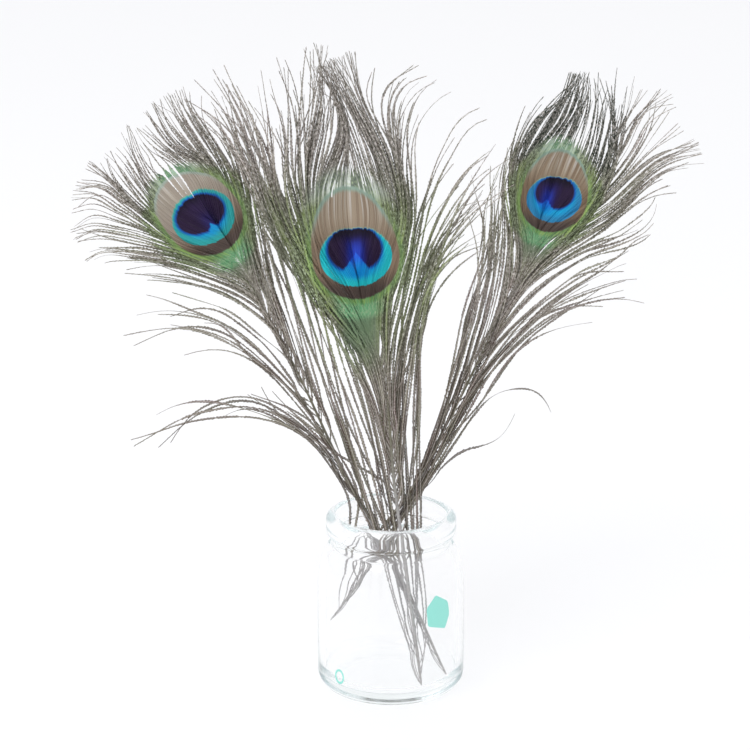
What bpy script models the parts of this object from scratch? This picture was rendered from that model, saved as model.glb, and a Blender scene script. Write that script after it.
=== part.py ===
"""Three peacock feathers standing in a small clear glass jar.

The jar is one turned piece. Each feather is one solid: a tapering shaft, the thin oval vane that
carries the eye, and the long locks of barbs that grow from both sides of the shaft.
Lengths are in millimetres and become Blender's metres by MM. +Z is up, -Y faces the viewer, and the
origin is the middle of the jar's flat base.
"""

import math

import bmesh
import bpy
import numpy as np
from mathutils import Vector

MM = 0.001

# ---- the jar, a 150 ml pudding jar -------------------------------------------------------------
JAR_HEIGHT = 80.0
BODY_RADIUS = 32.25
BODY_WALL = 3.0
FLOOR_THICKNESS = 7.5
FOOT_ROUNDING = 8.0
FLOOR_ROUNDING = 7.0
SHOULDER_START = 45.0
SHOULDER_END = 66.0
NECK_RADIUS = 25.8
NECK_WALL = 3.0
RIM_RADIUS = 28.5
RIM_BOTTOM = 69.5
RIM_ROUNDING = 3.5
MOUTH_RADIUS = 25.3
JAR_SIDES = 36

# ---- what the three feathers have in common ----------------------------------------------------
QUILL_RADIUS = 1.5
SHAFT_TIP_RADIUS = 0.45
SHAFT_POINTS = 16
CUP = 0.0012  # how fast a vane curls towards the viewer, per millimetre squared
LOCKS_PER_SIDE = 20
LOCK_POINTS = 5
LOCK_FOOT_RADIUS = 0.45
LOCK_TIP_RADIUS = 0.3
LAYER_GAP = 2.0  # the locks lie in three layers, this far apart
LAYER_QUICKNESS = 4.0  # they are this far apart after a quarter of their length
VANE_HALF_THICKNESS = 1.3
VANE_SIDES = 14
VANE_RINGS = 6

# ---- the feathers ------------------------------------------------------------------------------
# spine: x, y, z from the quill's end through the eye to the crown of the tuft.
# shaft_end: the height at which the shaft itself ends, inside the eye.
# yaw: how fast the vane falls back from the viewer towards +X.
# eye: x and z of the vane's middle, its half width and half height, and its lean from upright.
# A barb is a foot's height on the shaft and three x, z points that it passes, the last its tip.
# left and right run from the lowest barb to the highest, and strays are single loose ones.
FEATHERS = {
    "left_feather": {
        "colour": (0.22, 0.21, 0.13),
        "spine": [
            (22, -14, 11.5), (5, -2, 47), (-5, 5, 66), (-15, 10, 83), (-27, 14, 108), (-40, 16, 137),
            (-56, 17, 169), (-67, 16, 192), (-74, 16, 203), (-80, 15, 213), (-90, 14, 232),
            (-104, 12, 259),
        ],
        "shaft_end": 210,
        "yaw": -0.12,
        "eye": {"x": -81, "z": 209, "half_width": 17, "half_height": 26, "lean": -33},
        "left": [
            (111, (-52, 145), (-82, 159), (-116, 168)),
            (125, (-54, 152), (-80, 166), (-110, 176)),
            (138, (-58, 164), (-86, 176), (-120, 186)),
            (152, (-66, 177), (-98, 188), (-135, 189)),
            (164, (-72, 187), (-105, 201), (-137, 197)),
            (178, (-82, 190), (-106, 204), (-128, 211)),
            (188, (-93, 200), (-112, 218), (-131, 228)),
            (197, (-94, 212), (-105, 227), (-120, 242)),
            (204, (-89, 221), (-99, 239), (-108, 255)),
            (210, (-85, 228), (-92, 244), (-99, 257)),
        ],
        "right": [
            (84, (-16, 159), (-41, 223), (-51, 284)),
            (96, (-26, 167), (-47, 220), (-62, 281)),
            (110, (-33, 179), (-53, 228), (-70, 274)),
            (127, (-42, 188), (-55, 230), (-62, 264)),
            (144, (-46, 192), (-53, 226), (-55, 255)),
            (160, (-51, 200), (-58, 231), (-65, 259)),
            (178, (-57, 208), (-63, 234), (-72, 257)),
            (191, (-65, 220), (-70, 239), (-81, 259)),
            (201, (-72, 227), (-78, 245), (-93, 262)),
            (209, (-81, 227), (-88, 244), (-97, 258)),
        ],
        "strays": [
            (85, (-50, 118), (-88, 120), (-128, 109)),
            (83, (-50, 113), (-86, 128), (-122, 127)),
            (97, (-54, 128), (-84, 148), (-114, 161)),
        ],
    },
    "middle_feather": {
        "colour": (0.13, 0.24, 0.12),
        "spine": [
            (12, -22, 10.5), (8, -14, 42), (4, -7, 74), (1.5, -5, 93), (-3, -7, 140), (-9, -10, 166),
            (-13, -12, 181), (-15, -13, 199), (-17, -15, 216), (-19, -19, 245), (-22, -24, 284),
        ],
        "shaft_end": 200,
        "yaw": 0.0,
        "eye": {"x": -15, "z": 200, "half_width": 18.5, "half_height": 30, "lean": -3},
        "left": [
            (82, (-14, 141), (-38, 209), (-44, 290)),
            (103, (-19, 153), (-40, 216), (-38, 288)),
            (121, (-23, 167), (-38, 224), (-32, 286)),
            (139, (-26, 182), (-36, 228), (-27, 286)),
            (153, (-30, 190), (-35, 231), (-23, 280)),
            (165, (-32, 201), (-32, 236), (-25, 280)),
            (176, (-29, 207), (-28, 238), (-24, 277)),
            (187, (-24, 212), (-23, 239), (-25, 278)),
            (200, (-18, 219), (-20, 245), (-24, 282)),
        ],
        "right": [
            (84, (8, 146), (22, 189), (41, 221)),
            (91, (9, 156), (25, 209), (34, 251)),
            (105, (8, 170), (20, 222), (29, 262)),
            (120, (8, 182), (13, 232), (22, 276)),
            (134, (9, 190), (7, 234), (11, 283)),
            (149, (9, 195), (7, 232), (-2, 275)),
            (161, (7, 200), (3, 234), (-10, 284)),
            (173, (3, 204), (-2, 237), (-16, 282)),
            (185, (-5, 212), (-9, 241), (-21, 280)),
            (196, (-13, 217), (-15, 243), (-23, 281)),
        ],
        "strays": [],
    },
    "right_feather": {
        "colour": (0.16, 0.20, 0.14),
        "spine": [
            (-26, 2, 29), (-14, 7, 45), (-7, 10, 56), (2, 13, 67), (9, 15, 80), (20, 18, 105),
            (33, 21, 131), (45, 22, 157), (51, 22, 170), (59, 21, 186), (64, 20, 206), (69, 19, 220),
            (74, 16, 240), (81, 13, 271),
        ],
        "shaft_end": 216,
        "yaw": 0.25,
        "eye": {"x": 70, "z": 218, "half_width": 15, "half_height": 24, "lean": 15},
        "left": [
            (80, (22, 130), (34, 180), (35, 229)),
            (90, (25, 138), (40, 191), (42, 243)),
            (104, (33, 152), (45, 200), (48, 252)),
            (122, (42, 168), (50, 210), (57, 259)),
            (142, (48, 180), (53, 219), (65, 265)),
            (162, (52, 192), (57, 230), (72, 269)),
            (180, (55, 203), (60, 235), (75, 269)),
            (196, (59, 214), (65, 239), (78, 270)),
            (208, (65, 224), (70, 244), (81, 271)),
        ],
        "right": [
            (120, (55, 150), (80, 163), (105, 174)),
            (132, (62, 161), (88, 179), (115, 183)),
            (147, (68, 173), (94, 189), (117, 211)),
            (161, (72, 182), (100, 206), (125, 229)),
            (173, (77, 192), (105, 220), (134, 235)),
            (182, (82, 203), (102, 232), (118, 260)),
            (190, (83, 210), (97, 236), (99, 265)),
            (198, (84, 219), (91, 245), (93, 268)),
            (207, (79, 228), (84, 247), (88, 270)),
            (216, (71, 234), (76, 250), (83, 271)),
        ],
        "strays": [
            (104, (44, 125), (58, 130), (76, 112)),
            (86, (33, 104), (48, 110), (60, 122)),
        ],
    },
}


def clear_scene():
    for thing in list(bpy.data.objects):
        bpy.data.objects.remove(thing, do_unlink=True)


def new_collection(name):
    collection = bpy.data.collections.new(name)
    bpy.context.scene.collection.children.link(collection)
    return collection


def plain_material(name, colour, roughness, transmission=0.0):
    material = bpy.data.materials.new(name)
    material.use_nodes = True
    shader = material.node_tree.nodes["Principled BSDF"]
    shader.inputs["Base Color"].default_value = (*colour, 1.0)
    shader.inputs["Roughness"].default_value = roughness
    shader.inputs["Metallic"].default_value = 0.0
    shader.inputs["Transmission Weight"].default_value = transmission
    return material


# ---- the jar -----------------------------------------------------------------------------------
def arc(centre_r, centre_z, size_r, size_z, start, end, steps):
    """Points on a quarter of an ellipse, as radius and height; the angles are in degrees."""
    points = []
    for step in range(steps + 1):
        angle = math.radians(start + (end - start) * step / steps)
        points.append((centre_r + size_r * math.cos(angle), centre_z + size_z * math.sin(angle)))
    return points


def jar_profile():
    """The wall's outline: up the inside from the floor's middle, over the rim, down the outside."""
    inner_radius = BODY_RADIUS - BODY_WALL
    inner_neck = NECK_RADIUS - NECK_WALL
    floor_edge = inner_radius - FLOOR_ROUNDING
    inside = [(0.0, FLOOR_THICKNESS)]
    inside += arc(floor_edge, FLOOR_THICKNESS + FLOOR_ROUNDING, FLOOR_ROUNDING, FLOOR_ROUNDING, -90, 0, 3)
    inside += arc(inner_neck, SHOULDER_START, inner_radius - inner_neck,
                  SHOULDER_END - BODY_WALL / 2 - SHOULDER_START, 0, 90, 3)
    inside.append((inner_neck, RIM_BOTTOM + 1.0))
    lip = RIM_RADIUS - RIM_ROUNDING
    over_rim = [(MOUTH_RADIUS - 0.6, JAR_HEIGHT - 2.2), (MOUTH_RADIUS, JAR_HEIGHT - 0.5)]
    over_rim += arc(lip, JAR_HEIGHT - RIM_ROUNDING, RIM_ROUNDING, RIM_ROUNDING, 80, 0, 3)
    under_rim = arc(lip, RIM_BOTTOM + RIM_ROUNDING, RIM_ROUNDING, RIM_ROUNDING, 0, -75, 3)
    outside = arc(NECK_RADIUS, SHOULDER_START, BODY_RADIUS - NECK_RADIUS,
                  SHOULDER_END - SHOULDER_START, 90, 0, 4)
    foot_edge = BODY_RADIUS - FOOT_ROUNDING
    outside += arc(foot_edge, FOOT_ROUNDING, FOOT_ROUNDING, FOOT_ROUNDING, 0, -90, 3)
    return inside + over_rim + under_rim + outside + [(0.0, 0.0)]


def make_jar(collection):
    mesh = bpy.data.meshes.new("glass_jar")
    points = [(r * MM, 0.0, z * MM) for r, z in jar_profile()]
    edges = [(i, i + 1) for i in range(len(points) - 1)]
    mesh.from_pydata(points, edges, [])
    jar = bpy.data.objects.new("glass_jar", mesh)
    collection.objects.link(jar)
    turn = jar.modifiers.new("turn", "SCREW")
    turn.axis = "Z"
    turn.steps = JAR_SIDES
    turn.render_steps = JAR_SIDES
    turn.use_merge_vertices = True
    turn.merge_threshold = 0.00001
    turn.use_smooth_shade = True
    mesh.materials.append(plain_material("clear glass", (0.93, 0.97, 0.97), 0.03, 1.0))
    return jar


# ---- the feathers ------------------------------------------------------------------------------
def smooth(height, heights, values):
    """A smooth curve through the values at the heights, and straight on past both ends."""
    slopes = np.gradient(values, heights)
    if height <= heights[0]:
        return values[0] + slopes[0] * (height - heights[0])
    if height >= heights[-1]:
        return values[-1] + slopes[-1] * (height - heights[-1])
    i = int(np.searchsorted(heights, height)) - 1
    gap = heights[i + 1] - heights[i]
    t = (height - heights[i]) / gap
    start = values[i] * (1 + 2 * t) * (1 - t) ** 2 + slopes[i] * gap * t * (1 - t) ** 2
    end = values[i + 1] * t * t * (3 - 2 * t) - slopes[i + 1] * gap * t * t * (1 - t)
    return start + end


def spine_at(feather, height):
    """Where the feather's spine passes a height, as x and y."""
    spine = np.array(feather["spine"], float)
    x = smooth(height, spine[:, 2], spine[:, 0])
    y = smooth(height, spine[:, 2], spine[:, 1])
    return x, y


def on_vane(feather, x, z):
    """The point of the feather's curved surface at x and z."""
    spine_x, spine_y = spine_at(feather, z)
    out = x - spine_x
    return Vector((x, spine_y + feather["yaw"] * out - CUP * out * out, z))


def barb_at(stops, t):
    """The x and z of a smooth curve through four stops, a third of its length apart."""
    weights = [
        (1 - 3 * t) * (1 - 1.5 * t) * (1 - t),
        9 * t * (1 - 1.5 * t) * (1 - t),
        -4.5 * t * (1 - 3 * t) * (1 - t),
        t * (1 - 3 * t) * (1 - 1.5 * t),
    ]
    return np.dot(weights, stops)


def barb_points(feather, foot_height, passes, layer):
    """Points along one lock, from its foot on the shaft to its tip.

    The layer, -1, 0 or 1, lets neighbouring locks part in depth as they leave the shaft.
    """
    foot_x, foot_y = spine_at(feather, foot_height)
    stops = np.array([(foot_x, foot_height), *passes], float)
    points = []
    for t in np.linspace(0.0, 1.0, LOCK_POINTS):
        x, z = barb_at(stops, t)
        place = on_vane(feather, float(x), float(z))
        place.y += layer * LAYER_GAP * min(1.0, t * LAYER_QUICKNESS)
        points.append(place)
    return points


def locks_of_side(feather, side):
    """Evenly spread barbs between the lowest and the highest of one side."""
    barbs = feather[side]
    feet = [barb[0] for barb in barbs]
    passes = np.array([[value for point in barb[1:] for value in point] for barb in barbs], float)
    places = np.linspace(0, len(barbs) - 1, LOCKS_PER_SIDE)
    locks = []
    for place in places:
        foot = float(np.interp(place, range(len(barbs)), feet))
        row = [float(np.interp(place, range(len(barbs)), column)) for column in passes.T]
        locks.append((foot, (row[0:2], row[2:4], row[4:6])))
    return locks


def tube(name, points, radii, collection):
    """A closed four-sided tube of changing thickness through the points."""
    curve = bpy.data.curves.new(name, "CURVE")
    curve.dimensions = "3D"
    curve.bevel_depth = MM
    curve.bevel_resolution = 0
    curve.use_fill_caps = True
    spline = curve.splines.new("POLY")
    spline.points.add(len(points) - 1)
    for place, point, radius in zip(spline.points, points, radii):
        place.co = (*(Vector(point) * MM), 1.0)
        place.radius = radius
    rod = bpy.data.objects.new(name, curve)
    bpy.context.scene.collection.objects.link(rod)
    bpy.context.view_layer.update()
    seen = rod.evaluated_get(bpy.context.evaluated_depsgraph_get())
    mesh = bpy.data.meshes.new_from_object(seen)
    bpy.data.objects.remove(rod)
    body = bmesh.new()
    body.from_mesh(mesh)
    bmesh.ops.remove_doubles(body, verts=body.verts, dist=0.000001)
    bmesh.ops.recalc_face_normals(body, faces=body.faces)
    body.to_mesh(mesh)
    body.free()
    piece = bpy.data.objects.new(name, mesh)
    collection.objects.link(piece)
    return piece


def make_shaft(name, feather, collection):
    bottom = feather["spine"][0][2]
    points = []
    for height in np.linspace(bottom, feather["shaft_end"], SHAFT_POINTS):
        points.append((*spine_at(feather, height), height))
    radii = np.linspace(QUILL_RADIUS, SHAFT_TIP_RADIUS, SHAFT_POINTS)
    return tube(name, points, radii, collection)


def make_vane(name, feather, collection):
    """The dense oval round the eye: a thin lens that follows the feather's surface."""
    eye = feather["eye"]
    lean = math.radians(eye["lean"])
    body = bmesh.new()
    bmesh.ops.create_uvsphere(body, u_segments=VANE_SIDES, v_segments=VANE_RINGS, radius=1.0)
    for vert in body.verts:
        across = vert.co.x * eye["half_width"]
        along = vert.co.y * eye["half_height"]
        x = eye["x"] + across * math.cos(lean) + along * math.sin(lean)
        z = eye["z"] - across * math.sin(lean) + along * math.cos(lean)
        place = on_vane(feather, x, z)
        place.y -= vert.co.z * VANE_HALF_THICKNESS
        vert.co = place * MM
    bmesh.ops.recalc_face_normals(body, faces=body.faces)
    mesh = bpy.data.meshes.new(name)
    body.to_mesh(mesh)
    body.free()
    piece = bpy.data.objects.new(name, mesh)
    collection.objects.link(piece)
    return piece


def make_feather(name, feather, collection):
    """The shaft, with the vane and all the locks joined to it in one solid."""
    shaft = make_shaft(name, feather, collection)
    growths = new_collection(name + " growths")
    make_vane("vane", feather, growths)
    locks = locks_of_side(feather, "left") + locks_of_side(feather, "right")
    locks += [(stray[0], stray[1:]) for stray in feather["strays"]]
    radii = np.linspace(LOCK_FOOT_RADIUS, LOCK_TIP_RADIUS, LOCK_POINTS)
    for number, (foot_height, passes) in enumerate(locks):
        layer = number % 3 - 1
        tube("lock", barb_points(feather, foot_height, passes, layer), radii, growths)
    union = shaft.modifiers.new("grown together", "BOOLEAN")
    union.operation = "UNION"
    union.solver = "EXACT"
    union.operand_type = "COLLECTION"
    union.collection = growths
    bpy.context.view_layer.update()
    seen = shaft.evaluated_get(bpy.context.evaluated_depsgraph_get())
    mesh = bpy.data.meshes.new_from_object(seen)
    shaft.modifiers.clear()
    shaft.data = mesh
    for thing in list(growths.objects):
        bpy.data.objects.remove(thing)
    bpy.data.collections.remove(growths)
    mesh.materials.clear()
    mesh.materials.append(plain_material(name + " barbs", feather["colour"], 0.6))
    return shaft


def main():
    clear_scene()
    collection = new_collection("peacock feathers in a jar")
    make_jar(collection)
    for name, feather in FEATHERS.items():
        make_feather(name, feather, collection)


main()
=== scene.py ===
# %% [markdown]
# # Three peacock feathers in a small glass jar
# The real object is three eye feathers standing in a clear jar with a rolled rim. The solids that the
# part is built from say where everything is. This lesson gives them their looks: hundreds of real
# barbs instead of forty thick locks, a painted eye on each vane, and a smooth thick-walled jar.
# We start by loading those solids.

import math
from types import SimpleNamespace

import bpy
import numpy as np
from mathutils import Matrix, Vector


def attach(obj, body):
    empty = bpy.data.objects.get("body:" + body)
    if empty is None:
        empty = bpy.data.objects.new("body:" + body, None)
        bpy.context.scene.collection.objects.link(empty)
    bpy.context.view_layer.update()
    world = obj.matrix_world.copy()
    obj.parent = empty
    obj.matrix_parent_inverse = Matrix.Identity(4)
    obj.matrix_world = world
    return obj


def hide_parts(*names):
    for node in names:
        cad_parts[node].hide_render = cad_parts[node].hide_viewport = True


MM = 0.001
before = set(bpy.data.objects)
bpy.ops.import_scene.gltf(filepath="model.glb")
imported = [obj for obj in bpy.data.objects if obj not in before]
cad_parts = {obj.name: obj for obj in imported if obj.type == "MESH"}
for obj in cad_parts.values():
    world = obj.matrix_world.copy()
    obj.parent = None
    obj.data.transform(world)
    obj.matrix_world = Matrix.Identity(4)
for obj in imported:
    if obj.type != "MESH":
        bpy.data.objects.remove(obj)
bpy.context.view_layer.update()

# %% [markdown]
# ## Camera, floor and light
# The photograph is taken from a little above with a long lens, in a white studio. A long lens far away
# keeps upright things upright, so the camera stands 1.13 m off. The floor is one big white sheet. An
# even white sky does most of the lighting, and one large soft lamp from the upper left gives form.

# %% Camera
CAMERA_PLACE = (-7.0, -1130.0, 479.0)
CAMERA_PITCH = 16.6  # degrees below the horizon
LENS = 131.9
SENSOR_WIDTH = 36.0
NEAREST_SEEN = 50.0

camera_data = bpy.data.cameras.new("camera")
camera_data.lens = LENS
camera_data.sensor_width = SENSOR_WIDTH
camera_data.clip_start = NEAREST_SEEN * MM
camera = bpy.data.objects.new("camera", camera_data)
camera.location = Vector(CAMERA_PLACE) * MM
camera.rotation_euler = (math.radians(90.0 - CAMERA_PITCH), 0.0, 0.0)
bpy.context.scene.collection.objects.link(camera)
bpy.context.scene.camera = camera
print("camera at", tuple(camera.location))


# %% Helpers for selecting, editing and colours
def deselect_all():
    bpy.ops.object.select_all(action="DESELECT")


def edit_all():
    bpy.ops.object.mode_set(mode="EDIT")
    bpy.ops.mesh.select_all(action="SELECT")


def close_shell(nearest):
    """Merges points nearer than this, turns all faces outwards and leaves edit mode."""
    bpy.ops.mesh.select_all(action="SELECT")
    bpy.ops.mesh.remove_doubles(threshold=nearest)
    bpy.ops.mesh.normals_make_consistent(inside=False)
    bpy.ops.object.mode_set(mode="OBJECT")


def paint(*on_screen):
    """A red, green and blue as they look on screen, from 0 to 1, made linear for the shaders."""
    return tuple(c / 12.92 if c < 0.04045 else ((c + 0.055) / 1.055) ** 2.4 for c in on_screen) + (1.0,)


def plain_material(name, colour, roughness):
    material = bpy.data.materials.new(name)
    material.use_nodes = True
    shader = material.node_tree.nodes["Principled BSDF"]
    shader.inputs["Base Color"].default_value = colour
    shader.inputs["Roughness"].default_value = roughness
    return material


# %% Floor, sky and lamp
FLOOR_SIZE = 14.0  # metres, as are the next lengths
FLOOR_DEPTH = 0.0002  # a hair below the jar's foot, so that the two don't flicker
SKY_COLOUR = (0.985, 0.99, 1.0, 1.0)
LAMP_PLACE, LAMP_AIM = Vector((-0.9, -0.9, 1.5)), Vector((0.0, 0.0, 0.15))
LAMP_WIDTH, LAMP_LENGTH = 1.4, 1.0
LAMP_POWER = 9.0
bpy.context.scene.view_settings.view_transform = "Standard"

deselect_all()
bpy.ops.mesh.primitive_plane_add(size=FLOOR_SIZE, location=(0.0, 0.0, -FLOOR_DEPTH))
floor = bpy.context.active_object
floor.name = "floor"
floor.data.materials.append(plain_material("white floor", paint(0.97, 0.97, 0.975), 0.9))

sky = bpy.data.worlds.new("studio")
sky.use_nodes = True
sky.node_tree.nodes["Background"].inputs["Color"].default_value = SKY_COLOUR
bpy.context.scene.world = sky

lamp_data = bpy.data.lights.new("softbox", "AREA")
lamp_data.shape = "RECTANGLE"
lamp_data.size = LAMP_WIDTH
lamp_data.size_y = LAMP_LENGTH
lamp_data.energy = LAMP_POWER
lamp = bpy.data.objects.new("softbox", lamp_data)
lamp.location = LAMP_PLACE
lamp.rotation_euler = (LAMP_AIM - LAMP_PLACE).to_track_quat("-Z", "Y").to_euler()
bpy.context.scene.collection.objects.link(lamp)
print("studio ready")

# %% [markdown]
# ## The jar
# A pudding jar is blown in a mould, so it is perfectly round: a thick floor, a straight body, a rounded
# shoulder and a rolled rim. A turned shape needs only its outline. We walk one point along the outline
# with extrude, then spin the line round the jar's axis. The outline is closed over the rim, because
# glass bends light at both of its surfaces and a single skin would look like a soap bubble.

# %% Jar outline
JAR_HEIGHT = 80.0
BODY_RADIUS, BODY_WALL = 32.25, 3.0
FLOOR_THICKNESS, FLOOR_ROUNDING = 5.5, 7.0
FOOT_ROUNDING = 8.0
SHOULDER_START, SHOULDER_END = 45.0, 66.0
NECK_RADIUS, NECK_WALL = 25.8, 3.0
THROAT = ((22.8, 68.5), (23.0, 72.0), (24.0, 75.0), (24.7, 77.8))  # radius and height, up inside the rim
RIM_RADIUS, RIM_BOTTOM, RIM_ROUNDING = 28.5, 69.5, 3.5
JAR_STEPS = 128


def arc(centre_r, centre_z, size_r, size_z, start, end, steps):
    """Points on a part of an ellipse, as radius and height; the angles are in degrees."""
    angles = np.radians(np.linspace(start, end, steps + 1))
    return [(centre_r + size_r * math.cos(a), centre_z + size_z * math.sin(a)) for a in angles]


def jar_outline():
    """Up the inside from the floor's middle, over the rim, down the outside and under the foot."""
    inner_radius, inner_neck = BODY_RADIUS - BODY_WALL, NECK_RADIUS - NECK_WALL
    floor_edge, foot_edge = inner_radius - FLOOR_ROUNDING, BODY_RADIUS - FOOT_ROUNDING
    lip = RIM_RADIUS - RIM_ROUNDING
    line = [(0.0, FLOOR_THICKNESS), (floor_edge / 2, FLOOR_THICKNESS)]
    line += arc(floor_edge, FLOOR_THICKNESS + FLOOR_ROUNDING, FLOOR_ROUNDING, FLOOR_ROUNDING, -90, 0, 8)
    line += arc(inner_neck, SHOULDER_START, inner_radius - inner_neck,
                SHOULDER_END - BODY_WALL / 2 - SHOULDER_START, 0, 90, 10)
    line += THROAT
    line += arc(lip, JAR_HEIGHT - RIM_ROUNDING, RIM_ROUNDING, RIM_ROUNDING, 100, 0, 9)
    line += arc(lip, RIM_BOTTOM + RIM_ROUNDING, RIM_ROUNDING, RIM_ROUNDING, 0, -75, 7)
    line += arc(NECK_RADIUS, SHOULDER_START, BODY_RADIUS - NECK_RADIUS,
                SHOULDER_END - SHOULDER_START, 90, 0, 12)
    line += arc(foot_edge, FOOT_ROUNDING, FOOT_ROUNDING, FOOT_ROUNDING, 0, -90, 9)
    return line + [(foot_edge / 2, 0.0), (0.0, 0.0)]


# %% Spin the jar
def draw_line(points):
    """In edit mode: shrinks a fresh plane to one point and extrudes it from place to place."""
    bpy.ops.mesh.merge(type="CENTER")
    bpy.ops.transform.translate(value=points[0])
    for last, point in zip(points, points[1:]):
        step = Vector(point) - Vector(last)
        bpy.ops.mesh.extrude_region_move(TRANSFORM_OT_translate={"value": step})


def spin_all(steps, angle):
    """In edit mode: spins everything round the jar's axis."""
    bpy.ops.mesh.select_all(action="SELECT")
    bpy.ops.mesh.spin(steps=steps, angle=angle, center=(0.0, 0.0, 0.0), axis=(0.0, 0.0, 1.0))


def make_jar():
    deselect_all()
    bpy.ops.mesh.primitive_plane_add(size=0.01)
    jar = bpy.context.active_object
    jar.name = "clear_jar"
    edit_all()
    draw_line([(r * MM, 0.0, z * MM) for r, z in jar_outline()])
    spin_all(JAR_STEPS, math.tau)
    close_shell(0.01 * MM)
    bpy.ops.object.shade_smooth()
    return jar


jar = make_jar()
print("jar:", len(jar.data.polygons), "faces")

# %% [markdown]
# ## Building a material from nodes
# A material is a tree of small nodes, each of which adds, multiplies or mixes. Written out one by one
# they fill pages, so a helper adds a node and feeds its sockets: with a plain number or colour, or
# with what another node puts out.


# %% Helpers for node trees
class Nodes:
    """Adds nodes to one tree. A value is a number, a colour or the output of another node."""

    def __init__(self, tree):
        self.tree = tree

    def feed(self, socket, value):
        if isinstance(value, bpy.types.NodeSocket):
            self.tree.links.new(value, socket)
        else:
            socket.default_value = value

    def add(self, kind, sockets=None, **settings):
        node = self.tree.nodes.new("ShaderNode" + kind)
        for name, value in settings.items():
            setattr(node, name, value)
        for name, value in (sockets or {}).items():
            self.feed(node.inputs[name], value)
        return node

    def calc(self, operation, *values):
        return self.add("Math", dict(enumerate(values)), operation=operation).outputs[0]

    def times(self, first, *others):
        for other in others:
            first = self.calc("MULTIPLY", first, other)
        return first

    def edge(self, value, low, high):
        """0 where the value is at low, 1 where it is at high and smooth between."""
        sockets = {"Value": value, "From Min": low, "From Max": high}
        return self.add("MapRange", sockets, interpolation_type="SMOOTHSTEP").outputs["Result"]

    def over(self, colour, *layers):
        """Colours laid one by one over a first colour, each with its share from 0 to 1."""
        for layer, share in layers:
            colour = self.add("Mix", {0: share, 6: colour, 7: layer}, data_type="RGBA").outputs[2]
        return colour

    def split(self, vector):
        return self.add("SeparateXYZ", {0: vector}).outputs


# %% [markdown]
# ## Glass
# Clear glass is one shader with full transmission. What tells the eye that it is there are its edges:
# the light travels a long way through the rim and the corners of the floor and turns faintly green.
# That is absorption in the glass itself, so it goes in the volume and not in the surface colour. Light
# that is on its way to something else goes straight through, so that the jar casts no dark shadow, and
# the rays may bounce often, because in a thick rim they turn many times before they come out.

# %% Glass material
GLASS_IOR = 1.45
GLASS_TINT, GLASS_DENSITY = (0.88, 0.92, 0.925, 1.0), 14.0
GLASS_BOUNCES = 96
for kind in ("max", "transmission", "glossy"):
    setattr(bpy.context.scene.cycles, kind + "_bounces", GLASS_BOUNCES)


def clear_glass():
    material = plain_material("clear glass", (1.0, 1.0, 1.0, 1.0), 0.0)
    nodes = Nodes(material.node_tree)
    shader, surface = (material.node_tree.nodes[name] for name in ("Principled BSDF", "Material Output"))
    shader.inputs["Transmission Weight"].default_value = 1.0
    shader.inputs["IOR"].default_value = GLASS_IOR
    path = nodes.add("LightPath").outputs
    passing = nodes.calc("MAXIMUM", path["Is Shadow Ray"], path["Is Diffuse Ray"])
    clear = nodes.add("BsdfTransparent").outputs[0]
    mix = nodes.add("MixShader", {0: passing, 1: shader.outputs[0], 2: clear})
    body = nodes.add("VolumeAbsorption", {"Color": GLASS_TINT, "Density": GLASS_DENSITY})
    nodes.feed(surface.inputs["Surface"], mix.outputs[0])
    nodes.feed(surface.inputs["Volume"], body.outputs[0])
    return material


jar.data.materials.append(clear_glass())
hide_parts("glass_jar")
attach(jar, "root")

# %% [markdown]
# ## Two small prints on the glass
# The jar carries two little prints in teal enamel, a bare six-sided label and a bare ring. The label
# is a thin box bent round the jar, which is the same as a small slab spun a few degrees about the
# jar's axis. Straight cuts then trim it to its sides and take its corners off.

# %% Enamel label
PRINT_THICKNESS = 0.12
LABEL_AZIMUTH = 39.5  # degrees from the front towards +X
LABEL_TURN, LABEL_STEPS = 26.0, 12
LABEL_MIDDLE, LABEL_HEIGHT = 43.0, 18.0
LABEL_SIDES = ((11, 5.9), (58, 6.0), (139, 6.8), (186, 6.2), (253, 6.9), (334, 6.9))  # slope, how far out
LABEL_ROUNDING = 0.35  # how much of each corner is cut off
ENAMEL_ROUGHNESS = 0.35
teal_enamel = plain_material("teal enamel", paint(0.58, 0.88, 0.83), ENAMEL_ROUGHNESS)


def place_on_wall(azimuth, out, height):
    """A place this far outside the jar's wall."""
    turn, radius = math.radians(azimuth), BODY_RADIUS + out
    return Vector((math.sin(turn) * radius, -math.cos(turn) * radius, height)) * MM


def make_label():
    """A slab, spun from one upright edge of the label to the other."""
    deselect_all()
    start = LABEL_AZIMUTH + LABEL_TURN / 2
    bpy.ops.mesh.primitive_plane_add(
        size=MM, location=place_on_wall(start, PRINT_THICKNESS / 2, LABEL_MIDDLE),
        rotation=(math.pi / 2, 0.0, math.radians(start - 90.0)))
    label = bpy.context.active_object
    label.name = "teal_label"
    label.scale = (PRINT_THICKNESS, LABEL_HEIGHT, 1.0)
    bpy.ops.object.transform_apply(location=True, rotation=True, scale=True)
    edit_all()
    spin_all(LABEL_STEPS, math.radians(LABEL_TURN))
    close_shell(0.001 * MM)
    return label


def label_cuts():
    """The six sides of the label, and a cut between each two of them that takes their corner off."""
    cuts = list(LABEL_SIDES)
    for (slope, out), (next_slope, next_out) in zip(LABEL_SIDES, LABEL_SIDES[1:] + LABEL_SIDES[:1]):
        half_turn = (next_slope - slope) % 360 / 2
        corner_out = (out + next_out) / 2 / math.cos(math.radians(half_turn))
        cuts.append((slope + half_turn, corner_out - LABEL_ROUNDING))
    return cuts


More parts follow.
